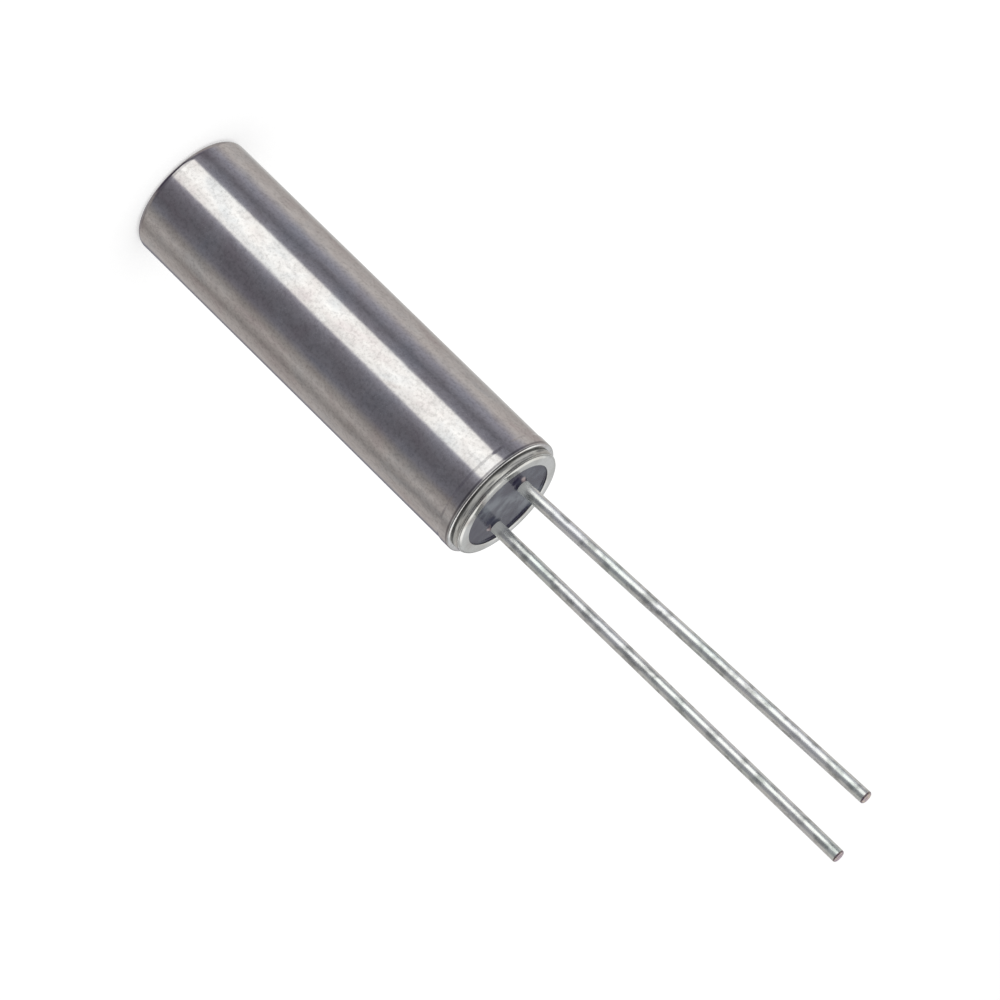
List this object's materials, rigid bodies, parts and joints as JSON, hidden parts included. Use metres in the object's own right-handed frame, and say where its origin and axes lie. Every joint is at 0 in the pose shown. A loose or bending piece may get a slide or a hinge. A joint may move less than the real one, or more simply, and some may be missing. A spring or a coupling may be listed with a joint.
{
  "type": "cylindrical quartz crystal unit",
  "caption": "Cylindrical metal-can quartz crystal unit for timing circuits, with a glass-sealed stem and two straight wire leads for soldering to a board.",
  "frame": {"origin": "centre of the can's flat closed end, where the part stands", "axes": "+Z along the can from its closed end towards the lead tips; the two leads lie in the XZ plane, lead A on the -X side"},
  "size_m": [0.003, 0.003, 0.0206],
  "materials": {
    "can": "drawn nickel silver, satin with fine lengthwise grain",
    "stem_ring": "tinned, soft sheen",
    "bead_glass": "dark blue-grey sealing glass, fire polished",
    "lead_wire": "dip-tinned wire, slightly uneven sheen",
    "quartz": "lapped and etched, translucent",
    "silver_film": "evaporated silver",
    "adhesive": "silver-filled adhesive, dull"
  },
  "bodies": {
    "root": {"can": "can", "stem_ring": "stem_ring", "glass_bead": "bead_glass", "lead_a": "lead_wire", "lead_b": "lead_wire", "quartz_strip": "quartz", "electrode_front": "silver_film", "electrode_back": "silver_film", "bond_a": "adhesive", "bond_b": "adhesive"}
  },
  "joints": []
}
